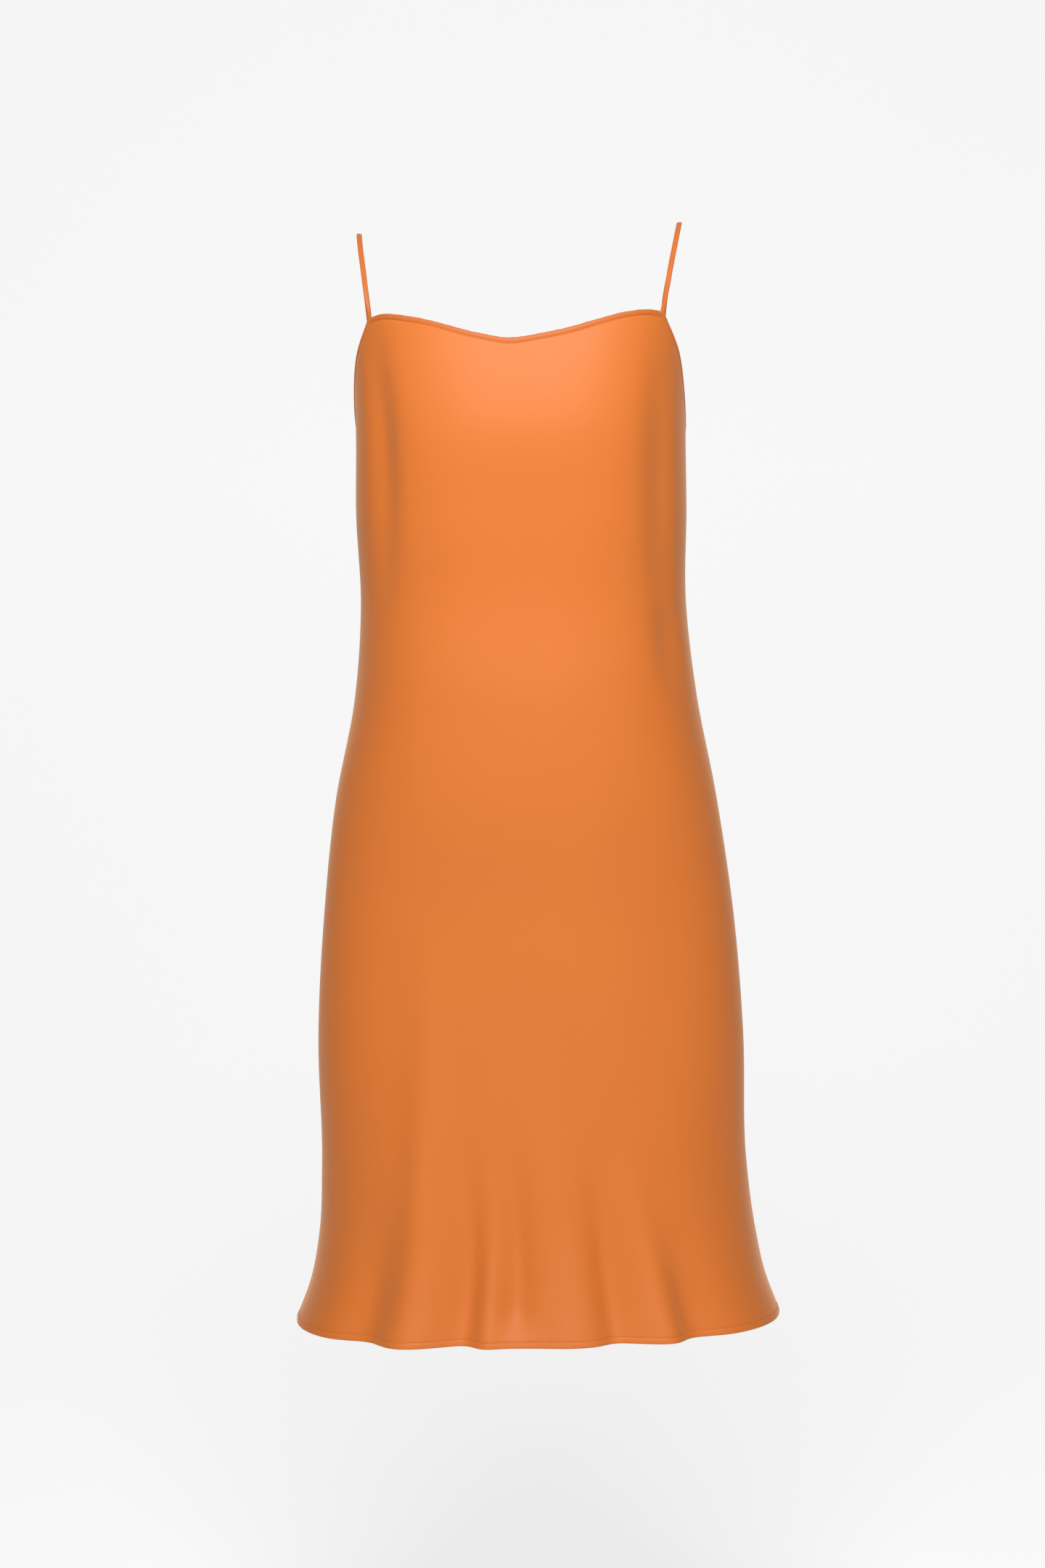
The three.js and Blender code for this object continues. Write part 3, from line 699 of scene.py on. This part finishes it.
def cloth_material(name, dark, light, sheen=0.35):
    """Satin in one dye, from its darker to its lighter tone."""
    material = bpy.data.materials.new(name)
    material.use_nodes = True
    nodes, link = material.node_tree.nodes, material.node_tree.links.new
    shader = nodes["Principled BSDF"]
    weave = nodes.new("ShaderNodeGroup")
    weave.node_tree = SATIN
    colour = nodes.new("ShaderNodeMix")
    colour.data_type = "RGBA"
    colour.inputs[6].default_value = (*dark, 1)
    colour.inputs[7].default_value = (*light, 1)
    link(weave.outputs["Tone"], colour.inputs["Factor"])
    link(colour.outputs[2], shader.inputs["Base Color"])
    link(weave.outputs["Roughness"], shader.inputs["Roughness"])
    link(weave.outputs["Normal"], shader.inputs["Normal"])
    shader.inputs["Sheen Weight"].default_value = sheen
    shader.inputs["Sheen Roughness"].default_value = 0.45
    shader.inputs["Sheen Tint"].default_value = (1.0, 0.62, 0.36, 1)
    shader.inputs["Specular IOR Level"].default_value = 0.30
    shader.inputs["Anisotropic"].default_value = 0.25
    return material


SATIN = satin_group()
SATIN_CLOTH = cloth_material("orange_satin", (0.53, 0.130, 0.0172), (0.585, 0.152, 0.022))
BAND_CLOTH = cloth_material("orange_binding", (0.475, 0.112, 0.0165), (0.53, 0.134, 0.0215))
THREAD = cloth_material("orange_thread", (0.40, 0.082, 0.014), (0.47, 0.100, 0.018), 0.1)
STITCHES, STITCH_SOCKETS = stitch_tree()

front, back = front_panel(), back_panel()
neck, rear = neck_binding(), back_binding()
strap_right, strap_left = strap_strip(1, STRAP_RIGHT), strap_strip(-1, STRAP_LEFT)

# ---- stitch lines ----
band_out = read(BAND_PROFILE, BAND, "share", "out", STITCH_SHARE) - CLOTH / 2


def edge_stitches(name, at, z, out, seed):
    return stitch_run(name, on_cloth(at, z, out), normals(at, z), THREAD, seed)


neck_run = neck_line(STITCH_SHARE * BINDING_WIDE)
keep = np.abs(neck_run[0]) < CORNER_AT - STITCH_CORNER_CLEAR
side_runs = {side: side_line(side, STITCH_SHARE * BINDING_WIDE) for side in (-1, 1)}
rear_along = np.linspace(-1, 1, 400)
rear_at = 180 + rear_along * (SIDE_AT - STITCH_SEAM_CLEAR)
rear_z = back_height(side_runs, rear_along, STITCH_SEAM_CLEAR)
stitches = [
    edge_stitches("neck_stitches", neck_run[0][keep], neck_run[1][keep], band_out, 11),
    edge_stitches("back_stitches", rear_at, rear_z, band_out, 12),
]
for label, side in (("left", -1), ("right", 1)):
    round_, z = side_runs[side]
    front_part = round_ < SIDE_AT
    at, z = side * round_[front_part], z[front_part]
    stitches.append(edge_stitches(f"armhole_stitches_{label}", at, z, band_out, 14 + side))
for label, middle in (("front", 0), ("back", 180)):
    at = middle + np.linspace(-1, 1, 700) * (SIDE_AT - HEM_SEAM_CLEAR)
    z = np.full(at.shape, HEM_Z + HEM_STITCH)
    stitches.append(edge_stitches(f"hem_stitches_{label}", at, z, relief(at, z) + 0.02, 21 + middle))

for obj, material in (
    (front, SATIN_CLOTH), (back, SATIN_CLOTH), (neck, BAND_CLOTH), (rear, BAND_CLOTH),
    (strap_left, BAND_CLOTH), (strap_right, BAND_CLOTH),
):
    obj.data.materials.append(material)

pieces = {
    "front_panel": front, "back_panel": back, "neck_binding": neck, "back_binding": rear,
    "strap_binding_left": strap_left, "strap_binding_right": strap_right,
}
for node, obj in pieces.items():
    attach(obj, "root")
    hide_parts(node)
for obj in stitches:
    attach(obj, "root")


# ---- studio: a pale sweep, soft light from above the front ----
def sweep():
    """Pale paper on the floor, curved up into the wall behind."""
    floor_z, reach, wall, bend = -1.38, 1.7, 2.6, 1.2
    profile = [(-5.0, floor_z), (wall - bend, floor_z)]
    for step in range(1, 13):
        turn = math.radians(90 * step / 12)
        profile.append((wall - bend + bend * math.sin(turn), floor_z + bend * (1 - math.cos(turn))))
    profile.append((wall, 4.0))
    verts = [(x, y, z) for y, z in profile for x in (-reach, reach)]
    faces = [(2 * i, 2 * i + 1, 2 * i + 3, 2 * i + 2) for i in range(len(profile) - 1)]
    mesh = bpy.data.meshes.new("studio_floor")
    mesh.from_pydata(verts, [], faces)
    mesh.shade_smooth()
    obj = bpy.data.objects.new("studio_floor", mesh)
    bpy.context.scene.collection.objects.link(obj)
    material = bpy.data.materials.new("pale_paper")
    material.use_nodes = True
    nodes, link = material.node_tree.nodes, material.node_tree.links.new
    shader = nodes["Principled BSDF"]
    grain = nodes.new("ShaderNodeTexNoise")
    grain.inputs["Scale"].default_value = 3
    tint = nodes.new("ShaderNodeMix")
    tint.data_type = "RGBA"
    tint.inputs[6].default_value = (0.24, 0.24, 0.24, 1)
    tint.inputs[7].default_value = (0.26, 0.26, 0.26, 1)
    link(grain.outputs["Fac"], tint.inputs["Factor"])
    link(tint.outputs[2], shader.inputs["Base Color"])
    shader.inputs["Roughness"].default_value = 0.9
    shader.inputs["Specular IOR Level"].default_value = 0.1
    shader.inputs["Emission Color"].default_value = (1, 1, 1, 1)
    shader.inputs["Emission Strength"].default_value = 0.75
    mesh.materials.append(material)
    return obj


sweep()


def area_light(name, place, target, size, power):
    data = bpy.data.lights.new(name, "AREA")
    data.shape = "RECTANGLE"
    data.size, data.size_y = size
    data.energy = power
    obj = bpy.data.objects.new(name, data)
    obj.location = place
    obj.rotation_mode = "QUATERNION"
    obj.rotation_quaternion = (Vector(target) - Vector(place)).to_track_quat("-Z", "Y")
    bpy.context.scene.collection.objects.link(obj)


area_light("key", (0.0, -2.3, 1.3), (0, 0, -0.45), (1.3, 0.9), 108)
area_light("fill", (0.3, -3.2, -0.6), (0, 0, -0.7), (1.2, 1.6), 4)

world = bpy.data.worlds.new("studio")
bpy.context.scene.world = world
world.use_nodes = True
world.node_tree.nodes["Background"].inputs["Color"].default_value = (1, 1, 1, 1)
world.node_tree.nodes["Background"].inputs["Strength"].default_value = 0.13

# ---- camera: a long lens, straight on, a little above the middle ----
camera_data = bpy.data.cameras.new("camera")
camera_data.lens = 85
camera_data.sensor_width = 36
camera = bpy.data.objects.new("camera", camera_data)
bpy.context.scene.collection.objects.link(camera)
eye, aim = Vector((0, -3.4, -0.2765)), Vector((-0.0073, 0, -0.5101))
look = (aim - eye).to_track_quat("-Z", "Y").to_matrix().to_4x4()
camera.matrix_world = Matrix.Translation(eye) @ look @ Matrix.Rotation(math.radians(-1.17), 4, "Z")
bpy.context.scene.camera = camera
bpy.context.scene.view_settings.view_transform = "Standard"

bpy.context.view_layer.update()
